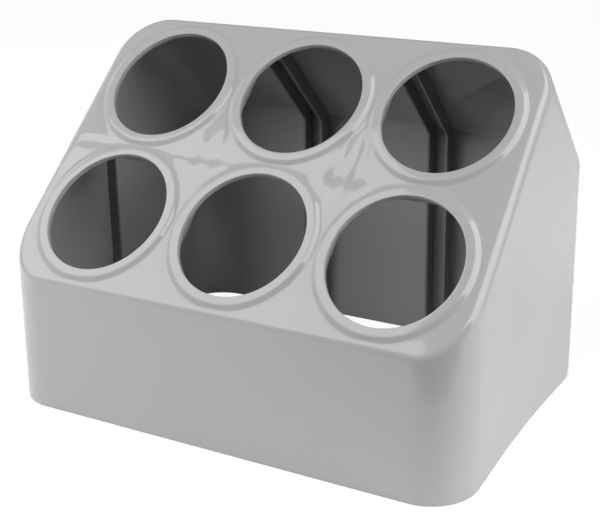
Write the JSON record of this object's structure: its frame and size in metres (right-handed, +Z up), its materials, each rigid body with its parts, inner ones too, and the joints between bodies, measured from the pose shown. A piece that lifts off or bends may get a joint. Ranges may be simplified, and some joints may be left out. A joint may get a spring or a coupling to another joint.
{
  "type": "flatware cylinder holder",
  "caption": "Open-bottomed plastic countertop housing whose sloped panel has ringed round holes that hold flatware cylinders, stiffened inside by thin plates.",
  "frame": {"origin": "middle of the base outline, on the countertop", "axes": "+Z up, -Y out of the low front wall, +X to the right as seen from the front"},
  "size_m": [0.4, 0.282, 0.2908],
  "materials": {
    "hood_plastic": "glossy light grey moulded plastic",
    "plate_plastic": "smooth light grey plastic, less glossy"
  },
  "bodies": {
    "root": {"housing_shell": "hood_plastic", "hoop_plate_left_outer": "plate_plastic", "hoop_plate_left_inner": "plate_plastic", "hoop_plate_right_inner": "plate_plastic", "hoop_plate_right_outer": "plate_plastic", "cross_plate_front": "plate_plastic", "cross_plate_rear": "plate_plastic", "side_plate_left": "plate_plastic", "side_plate_right": "plate_plastic"}
  },
  "joints": []
}
